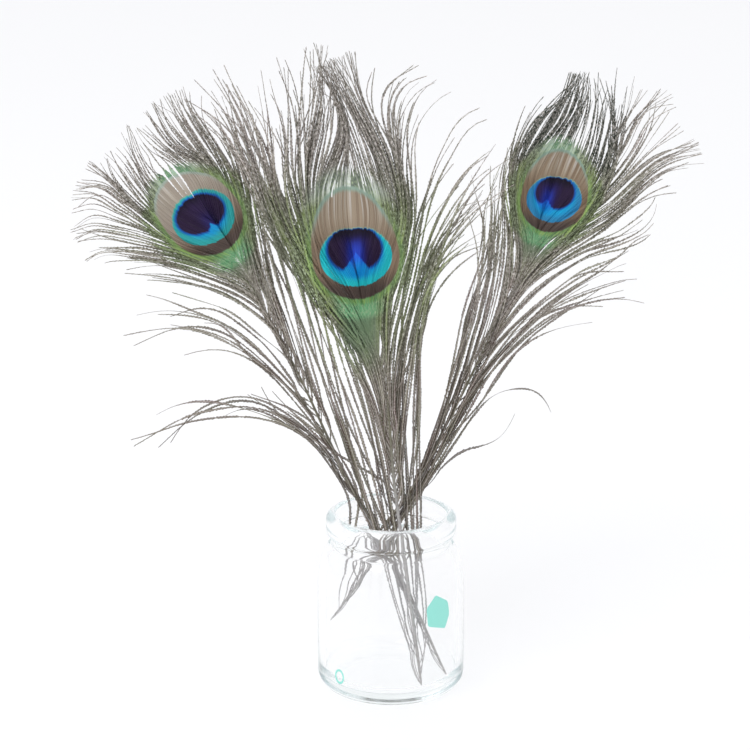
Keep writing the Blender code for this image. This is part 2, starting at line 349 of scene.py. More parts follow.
def cut_sides():
    turn = math.radians(LABEL_AZIMUTH)
    bpy.ops.object.mode_set(mode="EDIT")
    for slope, out in label_cuts():
        across, up = math.cos(math.radians(slope)), math.sin(math.radians(slope))
        outward = Vector((math.cos(turn) * across, math.sin(turn) * across, up))
        cut_place = place_on_wall(LABEL_AZIMUTH, 0.0, LABEL_MIDDLE) + outward * out * MM
        bpy.ops.mesh.select_all(action="SELECT")
        bpy.ops.mesh.bisect(plane_co=cut_place, plane_no=outward, use_fill=True, clear_outer=True)
    bpy.ops.object.mode_set(mode="OBJECT")


label = make_label()
cut_sides()
print("label:", len(label.data.polygons), "faces")

# %% Enamel ring
RING_AZIMUTH, RING_HEIGHT = -44.0, 12.3
RING_RADIUS, RING_WIDTH = 2.3, 0.85
RING_STRETCH = (1.0, 1.25, 0.35)  # a little taller than wide, and flat
RING_OUT = 0.02  # its middle lies this far outside the wall


def make_ring():
    deselect_all()
    bpy.ops.mesh.primitive_torus_add(
        major_radius=RING_RADIUS * MM, major_segments=40,
        minor_radius=RING_WIDTH / 2 * MM, minor_segments=10,
        location=place_on_wall(RING_AZIMUTH, RING_OUT, RING_HEIGHT),
        rotation=(math.pi / 2, 0.0, math.radians(RING_AZIMUTH)))
    ring = bpy.context.active_object
    ring.name = "teal_ring"
    ring.scale = RING_STRETCH
    bpy.ops.object.transform_apply(location=True, rotation=True, scale=True)
    bpy.ops.object.shade_smooth()
    return ring


ring = make_ring()
for enamel in (label, ring):
    enamel.data.materials.append(teal_enamel)
    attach(enamel, "root")
print("ring:", len(ring.data.polygons), "faces")

# %% [markdown]
# ## How a peacock feather is built
# A feather is a stiff shaft with barbs on both sides. Low down the barbs are long and loose, and round
# the eye they are short and lie edge to edge. Each barb is itself a little feather: a thin stem with
# two rows of tiny barbules. One barb would be easy to model by hand, but there are hundreds and no two
# are alike, so each feather is described by a few guide barbs, and the rest are worked out between
# them. A guide is the height of its foot on the shaft and the places that it passes, the last its tip.
# All lengths are millimetres, seen from the front: x, then height. Hooks tell how far the tips of the
# left and the right barbs turn outwards, in radians. A lock is a band of barbs that run close together
# across the rest. The barbs of the crown, above the eye, keep only a share of their guides' length.

# %% The left feather
LEFT = {
    "node": "left_feather",
    "spine": [
        (23.5, -13.5, 9.5), (6, -2, 47), (-5, 5, 66), (-15, 10, 83), (-27, 14, 108), (-40, 16, 137),
        (-56, 17, 169), (-67, 16, 192), (-74, 16, 203), (-80, 15, 213), (-90, 14, 232), (-104, 12, 259),
    ],
    "shaft_end": 211,
    "yaw": -0.12,
    "eye": {"x": -80.5, "z": 208, "size": 0.93, "lean": -34, "crown": 9.5},
    "crown_kept": 0.75,
    "low_barbs": 11,
    "hooks": (0.35, -0.2),
    "left": [
        (98, (-40, 124), (-56, 138), (-81, 154), (-105, 158), (-114, 161)),
        (108, (-44, 133), (-70, 155), (-92, 163), (-115, 170)),
        (120, (-52, 143), (-71, 161), (-91, 170), (-108, 177)),
        (130, (-46, 150), (-68, 169), (-98, 180), (-116, 188)),
        (142, (-58, 169), (-85, 181), (-113, 188), (-125, 190)),
        (154, (-58, 171), (-82, 184), (-113, 191), (-126, 194), (-134, 191)),
        (162, (-61, 177), (-82, 187), (-112, 195), (-134, 199)),
        (168, (-64, 182), (-87, 192), (-117, 202), (-129, 203), (-137, 198)),
        (173, (-69, 185), (-93, 195), (-117, 211), (-128, 218), (-136, 218)),
        (178, (-71, 188), (-93, 197), (-112, 214), (-122, 222), (-133, 222)),
        (183, (-74, 190), (-94, 199), (-111, 214), (-128, 233)),
        (188, (-76, 193), (-93, 200), (-107, 212), (-124, 231)),
        (192, (-77, 196), (-93, 203), (-105, 216), (-119, 238)),
        (197, (-78, 200), (-91, 207), (-103, 218), (-115, 241)),
        (202, (-85, 207), (-98, 217), (-110, 237), (-112, 250)),
        (206, (-85, 211), (-99, 225), (-107, 237), (-111, 249)),
    ],
    "right": [
        (106, (-31, 133), (-40, 172), (-48, 203), (-52, 230), (-53, 253)),
        (116, (-35, 133), (-45, 169), (-52, 201), (-56, 230), (-56, 256)),
        (130, (-44, 154), (-53, 182), (-58, 210), (-60, 237), (-58, 261)),
        (144, (-50, 166), (-58, 191), (-61, 219), (-65, 243), (-68, 262)),
        (155, (-54, 176), (-60, 197), (-64, 224), (-71, 247), (-75, 255)),
        (164, (-58, 181), (-62, 200), (-67, 227), (-83, 258)),
        (171, (-60, 186), (-63, 205), (-71, 229), (-91, 263)),
        (178, (-62, 191), (-66, 205), (-70, 223), (-81, 239), (-94, 261)),
        (184, (-68, 196), (-70, 211), (-75, 228), (-88, 242), (-100, 259)),
        (190, (-72, 201), (-74, 215), (-80, 230), (-95, 240), (-103, 254)),
        (197, (-76, 209), (-81, 225), (-94, 238), (-106, 251)),
        (203, (-80, 213), (-88, 228), (-102, 240), (-109, 247)),
    ],
    "low": [
        (12, (6, 43), (-11, 82), (-26, 129), (-36, 176), (-47, 221), (-51, 250)),
        (11, (7, 45), (-12, 84), (-32, 133), (-46, 176), (-56, 221), (-62, 258)),
        (12, (9, 38), (-8, 71), (-29, 101), (-62, 123), (-84, 122), (-127, 109)),
        (11, (9, 41), (-11, 77), (-35, 119), (-70, 155), (-115, 170)),
    ],
    "strays": [
        (86, (-38, 111), (-62, 123), (-84, 122), (-110, 113), (-127, 109)),
        (85, (-40, 111), (-62, 120), (-88, 119), (-115, 112)),
        (88, (-44, 113), (-70, 123), (-97, 127), (-112, 126), (-121, 127)),
        (82, (-29, 107), (-46, 121), (-65, 131)),
        (125, (-61, 147), (-73, 163), (-92, 167)),
        (86, (-30, 113), (-45, 131)),
    ],
    "locks": [],
}

# %% The middle feather
MIDDLE = {
    "node": "middle_feather",
    "spine": [
        (13, -22, 7.0), (8.5, -14, 42), (4, -7, 74), (1.5, -5, 93), (-3, -7, 140), (-9, -10, 166),
        (-13, -12, 181), (-15, -13, 199), (-17, -15, 216), (-19, -19, 245), (-22, -24, 284),
    ],
    "shaft_end": 194,
    "yaw": 0.0,
    "eye": {"x": -15, "z": 198, "size": 1.0, "lean": -3, "crown": 16},
    "crown_kept": 0.4,
    "low_barbs": 20,
    "hooks": (0.15, 0.5),
    "left": [
        (84, (-8, 126), (-33, 179), (-51, 221), (-61, 262), (-72, 280)),
        (94, (-8, 133), (-32, 182), (-46, 223), (-48, 251), (-60, 286)),
        (101, (-9, 137), (-32, 184), (-46, 223), (-47, 253), (-53, 288)),
        (109, (-13, 155), (-34, 193), (-44, 227), (-43, 255), (-44, 290)),
        (118, (-16, 165), (-34, 198), (-43, 232), (-41, 262), (-41, 287)),
        (127, (-18, 175), (-34, 204), (-41, 232), (-38, 268), (-37, 289)),
        (136, (-18, 176), (-33, 202), (-39, 240), (-35, 276), (-35, 287)),
        (144, (-18, 178), (-32, 203), (-36, 240), (-34, 265), (-32, 286)),
        (151, (-18, 180), (-31, 204), (-35, 228), (-28, 278), (-28, 290)),
        (157, (-18, 183), (-30, 204), (-33, 227), (-27, 261), (-26, 272)),
        (163, (-20, 188), (-30, 208), (-30, 229), (-22, 255), (-27, 280)),
        (169, (-17, 188), (-27, 206), (-28, 227), (-20, 254), (-28, 280)),
        (175, (-15, 190), (-23, 205), (-25, 225), (-19, 253), (-29, 280)),
        (181, (-16, 195), (-21, 210), (-21, 231), (-18, 252), (-29, 280)),
        (188, (-17, 205), (-18, 220), (-18, 236), (-19, 257), (-29, 280)),
    ],
    "right": [
        (80, (9, 142), (16, 190), (26, 211), (36, 222), (43, 224)),
        (84, (7, 133), (15, 184), (24, 206), (38, 211)),
        (88, (7, 149), (17, 196), (25, 221), (28, 243), (35, 252)),
        (94, (6, 156), (18, 201), (24, 225), (27, 247), (35, 257)),
        (100, (3, 151), (13, 199), (21, 238), (25, 258), (30, 264)),
        (107, (1, 156), (10, 201), (17, 243), (20, 265), (25, 271)),
        (115, (-1, 158), (9, 203), (10, 232), (8, 270), (17, 284)),
        (123, (0, 178), (8, 215), (1, 257), (5, 277), (12, 284)),
        (132, (0, 183), (7, 219), (-1, 247), (-9, 271), (-1, 285)),
        (143, (-3, 180), (5, 214), (1, 241), (-9, 267), (-9, 284)),
        (151, (-4, 183), (4, 215), (0, 241), (-12, 267), (-17, 286)),
        (158, (-6, 184), (3, 215), (-2, 239), (-13, 265), (-20, 284)),
        (164, (-7, 187), (1, 215), (-4, 238), (-15, 263), (-24, 283)),
        (170, (-8, 189), (-1, 215), (-6, 238), (-16, 262), (-26, 282)),
        (175, (-10, 190), (-4, 215), (-9, 237), (-18, 261), (-29, 281)),
        (181, (-10, 198), (-7, 215), (-12, 236), (-20, 259), (-30, 280)),
        (187, (-13, 198), (-12, 215), (-15, 235), (-21, 257), (-31, 279)),
    ],
    "low": [
        (12, (3, 41), (-5, 72), (-17, 119), (-34, 179), (-43, 223), (-44, 289)),
        (12, (5, 40), (-1, 70), (-12, 121), (-29, 176), (-40, 223), (-37, 287)),
        (11, (6, 48), (-2, 94), (-15, 149), (-30, 196), (-33, 236), (-28, 285)),
        (11, (10, 44), (7, 87), (6, 140), (10, 190), (18, 247), (25, 270)),
        (11, (14, 40), (11, 65), (8, 114), (9, 167), (20, 223), (30, 263)),
        (12, (15, 40), (12, 68), (11, 114), (15, 183), (24, 212), (35, 251)),
    ],
    "strays": [
        (132, (11, 158), (13, 173), (9, 191), (4, 193)),
    ],
    "locks": [{
        "barbs": 46, "feet": (98, 150), "spread": 3.4,
        "stops": ((-11, 156), (-24, 175), (-38, 196), (-49, 218), (-56, 240), (-62, 260), (-70, 280)),
    }, {
        "barbs": 9, "feet": (86, 112), "spread": 2.5,
        "stops": ((6, 149), (16, 192), (23, 216), (29, 238), (36, 253)),
    }],
}

# %% The right feather
RIGHT = {
    "node": "right_feather",
    "spine": [
        (-27, 2, 29), (-14, 7, 45), (-7, 10, 56), (2, 13, 67), (9, 15, 80), (20, 18, 105), (33, 21, 131),
        (45, 22, 157), (51, 22, 170), (59, 21, 186), (64, 20, 206), (69, 19, 220), (74, 16, 240),
        (81, 13, 271),
    ],
    "shaft_end": 214,
    "yaw": 0.25,
    "eye": {"x": 69.8, "z": 215, "size": 0.8, "lean": 12, "crown": 13.5},
    "crown_kept": 0.8,
    "low_barbs": 20,
    "hooks": (-0.1, 0.2),
    "left": [
        (80, (24, 132), (36, 185), (37, 198), (35, 211), (36, 228)),
        (90, (24, 126), (35, 164), (39, 196), (38, 219), (40, 230)),
        (102, (30, 137), (39, 173), (41, 205), (41, 238)),
        (115, (35, 148), (43, 182), (44, 214), (43, 228), (46, 243)),
        (127, (40, 156), (47, 202), (46, 230), (50, 252)),
        (138, (45, 163), (50, 193), (48, 223), (54, 255)),
        (148, (50, 171), (52, 201), (50, 230), (63, 261)),
        (157, (54, 190), (51, 216), (54, 243), (67, 264), (75, 266)),
        (165, (56, 186), (54, 208), (53, 228), (60, 248), (75, 263)),
        (173, (58, 191), (55, 210), (55, 230), (66, 249), (77, 270)),
        (181, (60, 197), (57, 213), (58, 232), (69, 250), (78, 270)),
        (187, (62, 202), (59, 216), (61, 233), (73, 250), (79, 270)),
        (194, (64, 207), (62, 224), (70, 241), (80, 260), (81, 271)),
        (200, (66, 216), (70, 232), (78, 250), (83, 271)),
        (206, (68, 218), (74, 238), (80, 253), (83, 271)),
    ],
    "right": [
        (84, (43, 134), (65, 156), (91, 169), (105, 175)),
        (108, (43, 140), (63, 162), (91, 177), (108, 183), (115, 183)),
        (122, (47, 143), (74, 170), (93, 185), (98, 192), (108, 196)),
        (136, (56, 164), (83, 185), (111, 198), (117, 212)),
        (148, (62, 178), (82, 190), (101, 198), (112, 211), (112, 218)),
        (158, (62, 181), (94, 202), (117, 224), (128, 227)),
        (165, (64, 187), (97, 208), (119, 228), (133, 232)),
        (171, (66, 191), (94, 211), (117, 231), (132, 237)),
        (176, (66, 195), (91, 213), (113, 233), (128, 239)),
        (181, (67, 197), (87, 212), (104, 232), (114, 257)),
        (185, (67, 200), (85, 214), (100, 238), (107, 253), (119, 261)),
        (189, (71, 203), (88, 219), (99, 245), (112, 261)),
        (193, (70, 204), (85, 218), (94, 241), (98, 264)),
        (197, (68, 206), (82, 218), (90, 240), (93, 267)),
        (201, (70, 208), (81, 223), (88, 249), (87, 270)),
        (205, (71, 213), (80, 231), (86, 260), (85, 271)),
        (209, (70, 216), (76, 231), (84, 260), (84, 271)),
    ],
    "low": [
        (31, (-9, 52), (9, 82), (24, 123), (32, 162), (38, 194), (36, 227)),
        (31, (-13, 50), (8, 78), (24, 114), (36, 154), (42, 198), (42, 237)),
        (31, (-13, 55), (10, 81), (33, 113), (56, 148), (91, 169), (105, 175)),
        (31, (-6, 61), (17, 94), (35, 133), (47, 172), (48, 211), (50, 251)),
        (31, (-22, 43), (-17, 62), (-15, 82), (-29, 111), (-63, 142)),
    ],
    "strays": [
        (80, (30, 106), (49, 125), (61, 125), (76, 112)),
        (82, (30, 103), (45, 109), (59, 124)),
        (100, (38, 120), (61, 148), (92, 166), (106, 172)),
    ],
    "locks": [{
        "barbs": 18, "feet": (140, 176), "spread": 1.6,
        "stops": ((63, 184), (78, 199), (88, 214), (93, 230), (93, 247), (86, 271)),
    }],
}
FEATHERS = {"left": LEFT, "middle": MIDDLE, "right": RIGHT}
print("feathers:", list(FEATHERS))

# %% [markdown]
# ## The surface that a feather lies on
# The vane is not flat. It follows the bent shaft, turns a little to one side, and curls gently towards
# the viewer at its edges. Everything is drawn in the plane first and then laid on this surface.


# %% Spine and vane surface
CUP = 0.0012  # how far a vane curls towards the viewer, times its distance from the spine squared


def smooth(at, heights, values):
    """A smooth curve through the values at the heights, and straight on past both ends."""
    slopes = np.gradient(values, heights)
    inside = np.clip(at, heights[0], heights[-1])
    i = np.clip(np.searchsorted(heights, inside, side="right") - 1, 0, len(heights) - 2)
    gap = heights[i + 1] - heights[i]
    t = (inside - heights[i]) / gap
    start = values[i] * (1 + 2 * t) * (1 - t) ** 2 + slopes[i] * gap * t * (1 - t) ** 2
    end = values[i + 1] * t * t * (3 - 2 * t) - slopes[i + 1] * gap * t * t * (1 - t)
    past = np.where(at < heights[0], slopes[0], slopes[-1]) * (at - inside)
    return start + end + past


def look_up(at, pairs):
    """The second number of the pairs where the first is at this value, straight between them."""
    return np.interp(at, *np.array(pairs).T)


def spine_at(feather, height):
    """Where the feather's spine passes a height, as x and y."""
    x, y, z = np.array(feather["spine"], float).T
    return smooth(height, z, x), smooth(height, z, y)


def depth_at(feather, x, z):
    """How far back, in y, the vane's surface lies at x and z."""
    spine_x, spine_y = spine_at(feather, z)
    out = x - spine_x
    return spine_y + feather["yaw"] * out - CUP * out * out


def unit(vectors):
    return vectors / np.linalg.norm(vectors, axis=1, keepdims=True)


def facing_at(feather, x, z):
    """The direction in which the vane's surface faces, towards the viewer."""
    here = depth_at(feather, x, z)
    across = depth_at(feather, x + 1.0, z) - here
    along = depth_at(feather, x, z + 1.0) - here
    return unit(np.stack([across, -np.ones_like(here), along], 1))


print("the middle eye lies at depth", depth_at(MIDDLE, MIDDLE["eye"]["x"], MIDDLE["eye"]["z"]))

# %% [markdown]
# ## The shaft
# The shaft starts as a pointed quill inside the jar and ends as a fine thread in the middle of the
# eye, where it runs behind the vane. We draw it as a circle that is extruded up the spine and changes
# its size each time.

# %% Shafts
# Pairs of the way up from the quill's end and the radius there.
SHAFT_RADII = ((0.0, 0.3), (10.0, 0.65), (52.0, 0.8), (102.0, 0.62), (152.0, 0.42), (197.0, 0.22))
SHAFT_BEHIND = ((100.0, 0.0), (170.0, 0.6))  # height, and how far the shaft lies behind the vane
SHAFT_STEPS, SHAFT_SIDES = 30, 12
SHARP_ANGLE = 60.0  # edges sharper than this stay sharp


def make_shaft(feather, name):
    deselect_all()
    heights = np.linspace(feather["spine"][0][2], feather["shaft_end"], SHAFT_STEPS)
    x, y = spine_at(feather, heights)
    places = np.stack([x, y + look_up(heights, SHAFT_BEHIND), heights], 1) * MM
    radii = look_up(heights - heights[0], SHAFT_RADII) * MM
    bpy.ops.mesh.primitive_circle_add(
        vertices=SHAFT_SIDES, radius=radii[0], fill_type="NGON", location=places[0])
    shaft = bpy.context.active_object
    shaft.name = name
    bpy.ops.object.transform_apply(location=True, rotation=True, scale=True)
    edit_all()
    for last, place, thinner in zip(places, places[1:], radii[1:] / radii[:-1]):
        bpy.ops.mesh.extrude_region_move(TRANSFORM_OT_translate={"value": place - last})
        bpy.ops.transform.resize(value=(thinner, thinner, 1.0), center_override=place)
    bpy.ops.mesh.select_all(action="SELECT")
    bpy.ops.mesh.normals_make_consistent(inside=False)
    bpy.ops.object.mode_set(mode="OBJECT")
    bpy.ops.object.shade_smooth_by_angle(angle=math.radians(SHARP_ANGLE))
    return shaft


shafts = {name: make_shaft(feather, name + "_shaft") for name, feather in FEATHERS.items()}
print("shafts:", [len(shaft.data.polygons) for shaft in shafts.values()])

# %% [markdown]
# ## One barb
# A barb starts as a plane curve: a smooth line through its foot and the places that it passes. Real
# barbs wander a little, so the curve is cut in short steps and each step is turned by a small angle of
# its own. Turning the steps, instead of shifting the points, keeps the barb's length.


# %% The line of a barb
GUIDE_POINTS = 40


def ease(value, low, high):
    """0 below low, 1 above high and smooth between."""
    t = np.clip((value - low) / (high - low), 0.0, 1.0)
    return t * t * (3 - 2 * t)


def way_along(line):
    """How far along the line each of its points lies."""
    steps = np.linalg.norm(np.diff(line, axis=0), axis=1)
    return np.concatenate([[0.0], np.cumsum(steps)])


def even_line(line, count):
    """A number of points on the same line, at even gaps."""
    run = way_along(line)
    at = np.linspace(0.0, run[-1], count)
    return np.stack([np.interp(at, run, column) for column in line.T], 1)


def guide_line(feather, foot, *stops):
    """Even points on a smooth curve from a foot on the shaft through the places that it passes."""
    line = np.array([(spine_at(feather, foot)[0], foot), *stops], float)
    run = way_along(line)
    at = np.linspace(0.0, run[-1], 4 * GUIDE_POINTS)
    return even_line(np.stack([smooth(at, run, column) for column in line.T], 1), GUIDE_POINTS)


def turned_line(line, turn):
    """The same steps, each turned clockwise by its own angle."""
    x, z = np.diff(line, axis=0).T
    cos, sin = np.cos(turn), np.sin(turn)
    turned = np.stack([x * cos + z * sin, z * cos - x * sin], 1)
    return np.concatenate([line[:1], line[0] + np.cumsum(turned, axis=0)])


lowest = guide_line(MIDDLE, *MIDDLE["left"][0])
print("the lowest guide on the left of the middle feather is", way_along(lowest)[-1], "mm long")

# %% [markdown]
# ## From a line to a ribbon
# Each barb is a flat ribbon with a raised middle, three points to a ring: left edge, ridge, right edge.
# Its two rows of barbules are teeth in the edges: at every other ring an edge reaches out and forward.
# Loose barbs have long teeth and twist about their stem, which gives them their ragged look. Where
# barbs lie edge to edge there are no teeth, and the ribbon reaches just past its neighbour's edge.

# %% Ribbon builder
RING_GAP = 0.7
EDGE_SHARE, RIDGE_SHARE = 0.1, 0.5  # added to a barb's number on its map, to tell ridge from edges
MAP_GAP = 0.04  # how much of each strip of the map stays free between it and the next


def ribbon_faces(rings):
    """Quads round and along a ribbon, with the lane and ring of each corner for its place on the map."""
    i = np.arange(rings - 1) * 3
    faces, corners, backs = [], [], []
    for lane, (a, b) in enumerate(((0, 1), (1, 2), (2, 0))):
        faces += np.stack([i + a, i + b, i + b + 3, i + a + 3], 1).tolist()
        low, high = lane + MAP_GAP, lane + 1 - MAP_GAP
        for ring in range(rings - 1):
            corners += [(low, ring), (high, ring), (high, ring + 1), (low, ring + 1)]
        backs += [int(lane == 2)] * (rings - 1)
    last = (rings - 1) * 3
    faces.append([0, 2, 1])
    corners += [(0.0, 0.0), (3.0, 0.0), (1.5, -1.0)]
    for lane in range(3):
        faces.append([last + lane, last + (lane + 1) % 3, last + 3])
        corners += [(lane + MAP_GAP, rings - 1), (lane + 1 - MAP_GAP, rings - 1), (lane + 0.5, rings)]
    return faces, np.array(corners), backs + [0, 0, 0, 1]


def ribbon_points(place, facing, twist, left, right, ridge, lean):
    """The rings of one ribbon, and its tip. left, right and lean change from ring to ring."""
    along = unit(np.gradient(place, axis=0))
    side = unit(np.cross(along, facing))
    front = np.cross(side, along)
    cos, sin = np.cos(twist)[:, None], np.sin(twist)[:, None]
    front, side = front * cos + side * sin, side * cos - front * sin
    rings = np.stack([
        place - side * left[:, None] + along * lean[0][:, None],
        place + front * ridge[:, None],
        place + side * right[:, None] + along * lean[1][:, None],
    ], 1)
    tip = place[-1:] + along[-1:] * RING_GAP
    return np.concatenate([rings.reshape(-1, 3), tip])


class BarbPile:
    """Collects ribbons, then makes them one mesh with its maps."""

    def __init__(self, columns):
        self.columns = columns  # how many barbs stand side by side on the map
        self.points, self.faces, self.backs = [], [], []
        self.map_places, self.barb_places, self.eye_places = [], [], []
        self.count = 0

    def add(self, points, rings, run, eye_place):
        start = sum(len(p) for p in self.points)
        faces, corners, backs = ribbon_faces(rings)
        self.faces += [[start + corner for corner in face] for face in faces]
        self.points.append(points)
        self.backs += backs
        row, column = divmod(self.count, self.columns)
        corners = (corners + (0.0, 1.0)) / (3.0, rings + 1.0)
        self.map_places.append(corners * (1 - MAP_GAP) + MAP_GAP / 2 + (column, row))
        shares = [EDGE_SHARE, RIDGE_SHARE, EDGE_SHARE] * rings + [EDGE_SHARE]
        each = np.concatenate([np.repeat(run, 3), run[-1:]])
        self.barb_places.append(np.stack([each, self.count + np.array(shares)], 1))
        self.eye_places.append(eye_place)
        self.count += 1

    def make_piece(self, name):
        mesh = bpy.data.meshes.new(name)
        mesh.from_pydata(np.concatenate(self.points) * MM, [], self.faces)
        rows = -(-self.count // self.columns)
        corner_points = np.empty(len(mesh.loops), int)
        mesh.loops.foreach_get("vertex_index", corner_points)
        maps = {
            "OFBake": np.concatenate(self.map_places) / (self.columns, rows),
            "Barb": np.concatenate(self.barb_places)[corner_points],
            "Eye": np.concatenate(self.eye_places)[corner_points],
        }
        for map_name, places in maps.items():
            layer = mesh.uv_layers.new(name=map_name)
            layer.data.foreach_set("uv", places.astype(np.float32).ravel())
        mesh.polygons.foreach_set("material_index", self.backs)
        mesh.update()
        piece = bpy.data.objects.new(name, mesh)
        bpy.context.scene.collection.objects.link(piece)
        return piece


# %% [markdown]
# ## Where the eye lies
# Colours are painted by a small map in every feather's own measure: u runs across the eye and v up it,
# both in millimetres from the middle of its blue ring. A barb is dense where it crosses the oval round
# the eye, and loose elsewhere. The three eyes differ in size, in lean and in how much bronze crowns the
# ring, so v is stretched above the ring until the crown is as high as on the middle feather.

# %% Eye places
RING_TOP = 13.4
CROWN = 16.0  # from the ring's top to the end of the bronze, on the middle feather
OVAL_HALF_WIDTH = 18.3
OVAL_BELOW, OVAL_ABOVE = 19.0, 31.0
CROWN_LEAN = 0.08
FRINGE = 1.32  # where the vane has come apart, on the same scale as the oval's outline


def eye_places(feather, x, z):
    eye = feather["eye"]
    lean = math.radians(eye["lean"])
    right, up = (x - eye["x"]) / eye["size"], (z - eye["z"]) / eye["size"]
    u = right * math.cos(lean) - up * math.sin(lean)
    v = right * math.sin(lean) + up * math.cos(lean)
    v = np.where(v > RING_TOP, RING_TOP + (v - RING_TOP) * CROWN / eye["crown"], v)
    return np.stack([u, v], 1)


def oval_at(places):
    """1 on the outline of the bronze oval round an eye, less inside and more outside."""
    u, v = places.T
    above = np.maximum(v, 0.0)
    tall = above / OVAL_ABOVE + np.minimum(v, 0.0) / OVAL_BELOW
    return np.hypot((u + CROWN_LEAN * above) / OVAL_HALF_WIDTH, tall)


# %% [markdown]
# ## All the barbs of a feather
# The guides of both sides form one fan, from the lowest on the left, up round the top and down to the
# lowest on the right. Between each two guides we add barbs, closer together near the eye. Loose
# neighbours share part of their way, as if they stuck together, and part a little at their tips. Below
# the fan the feet go on down to the quill's end inside the jar. Single strays hang out at the sides,
# and the barbs of a lock cross the others together.

# %% Growing the barbs
SPACINGS = ((50.0, 0.75), (62.0, 1.1), (84.0, 2.4), (200.0, 4.6))  # the gaps of feet this far below its end
DENSE_FEET = 50.0
CROWN_FEET = 22.0  # feet this close to the shaft's end bear the shorter barbs of the crown
CROWN_BARBS = 4  # across the gap between the two topmost guides
FOOT_JITTER = 0.4
LOOSE_HALF_WIDTH = 0.62
FINE_HALF_WIDTHS = ((4.0, 0.26), (15.0, 0.46))  # by how far the foot lies below the shaft's end
LOOSE_KEPT = 0.8  # a loose barb keeps from this share of its guides' length up to all of it


def fan_of(feather):
    """The guides as one fan: the feet, the lines and the side of each, -1 or 1."""
    guides = feather["left"] + feather["right"][::-1]
    lines = [guide_line(feather, *guide) for guide in guides]
    sides = [-1.0] * len(feather["left"]) + [1.0] * len(feather["right"])
    return [guide[0] for guide in guides], lines, sides


def fan_barbs(feather, draw):
    """Every barb of the fan, with its line, its side, its width and the share of it that is kept."""
    feet, lines, sides = fan_of(feather)
    barbs = []
    for row in range(len(feet) - 1):
        below = feather["shaft_end"] - min(feet[row], feet[row + 1])
        loose = below > DENSE_FEET
        kept = feather["crown_kept"] if below <= CROWN_FEET else 1.0
        width = look_up(below, FINE_HALF_WIDTHS)
        if loose:
            kept, width = LOOSE_KEPT, LOOSE_HALF_WIDTH
        spacing = next(gap for reach, gap in SPACINGS if below <= reach)
        number = max(2, round(abs(feet[row + 1] - feet[row]) / spacing))
        if sides[row] != sides[row + 1]:
            number = CROWN_BARBS
        for place in (np.arange(number) + 0.5) / number:
            place = place + loose * draw.uniform(-FOOT_JITTER, FOOT_JITTER) / number
            line = lines[row] + (lines[row + 1] - lines[row]) * place
            side = sides[row] if place < 0.5 else sides[row + 1]
            barbs.append({"line": line, "side": side, "loose": loose, "kept": kept, "width": width})
    return barbs


# %% Neighbours that stick together
LARGEST_CLUMP = 4
CLUMP_PULL = (0.7, 0.96)  # how far the barbs of a clump are drawn to their middle
PULL_FULL = 1.9  # from where on it is drawn with full strength, on the oval's scale
CLUMP_APART = 0.3  # how much of the pull the tips lose again


def across_line(line):
    """The direction to the right of the line at each of its points."""
    along = unit(np.gradient(line, axis=0))
    return np.stack([along[:, 1], -along[:, 0]], 1)


def clump(feather, barbs, draw):
    """Neighbours share their way where they are clear of the eye, and part again at their tips."""
    share = np.linspace(0.0, 1.0, GUIDE_POINTS)[:, None]
    first = 0
    while first < len(barbs):
        group = barbs[first:first + draw.integers(1, LARGEST_CLUMP + 1)]
        middle = np.mean([barb["line"] for barb in group], axis=0)
        way_out = oval_at(eye_places(feather, *middle.T))[:, None]
        pull = draw.uniform(*CLUMP_PULL) * ease(way_out, FRINGE, PULL_FULL) * ease(share, 0.05, 0.4)
        pull = pull * (1 - CLUMP_APART * ease(share, 0.7, 1.0))
        for barb in group:
            line = barb["line"] + (middle - barb["line"]) * pull
            barb["line"] = line + across_line(line) * draw.normal(0.0, 0.6) * share ** 1.5
        first += len(group)


# %% Low barbs, strays and locks
STRAY = (LOOSE_KEPT, 0.8, 3.5)  # the share that is kept, by which share it is astray, and how far
LOCK_KEPT, LOCK_SOON = 0.75, 0.3  # the first two for the barbs of a lock, which names how far itself
FEET_CROWDING = 1.6  # an exponent; above 1 it crowds the low feet near the quill's end
LOWEST_FOOT = 0.5  # above the quill's end
FIRST_STOP = 12.0  # a barb passes only places that are this far above its foot


def single_guides(feather):
    """The guides of the barbs below the fan, of the strays and of the locks, each with its numbers."""
    low, bottom = feather["low"], feather["spine"][0][2]
    feet = np.linspace(0.0, 1.0, feather["low_barbs"]) ** FEET_CROWDING
    feet = bottom + LOWEST_FOOT + (feather["left"][0][0] - bottom) * feet
    guides = [(foot, low[turn % len(low)][1:], STRAY) for turn, foot in enumerate(feet)]
    guides += [(stray[0], stray[1:], STRAY) for stray in feather["strays"]]
    for lock in feather["locks"]:
        feet = np.linspace(*lock["feet"], lock["barbs"])
        guides += [(foot, lock["stops"], (LOCK_KEPT, LOCK_SOON, lock["spread"])) for foot in feet]
    return guides


def single_barbs(feather, draw):
    share = np.linspace(0.0, 1.0, GUIDE_POINTS)[:, None]
    barbs = []
    for foot, stops, (kept, soon, spread) in single_guides(feather):
        line = guide_line(feather, foot, *[stop for stop in stops if stop[1] > foot + FIRST_STOP])
        astray = draw.normal(0.0, 1.0) * ease(share, 0.0, 0.3)
        astray = astray + draw.normal(0.0, spread) * ease(share, 0.0, soon)
        side = 1.0 if line[-1, 0] > line[0, 0] else -1.0
        line = line + across_line(line) * astray
        barbs.append({"line": line, "side": side, "loose": True, "kept": kept, "width": LOOSE_HALF_WIDTH})
    return barbs


# %% [markdown]
# ## Every barb goes its own way
# No two real barbs are alike, so chance bends each one: slow waves, a hook at the tip and a bulge where
# it leaves the shaft. Its edges swell, are pinched here and there, and end in rough teeth. A loose barb
# also lies in front of or behind the vane and turns about its stem. A dense one keeps to its neighbours.

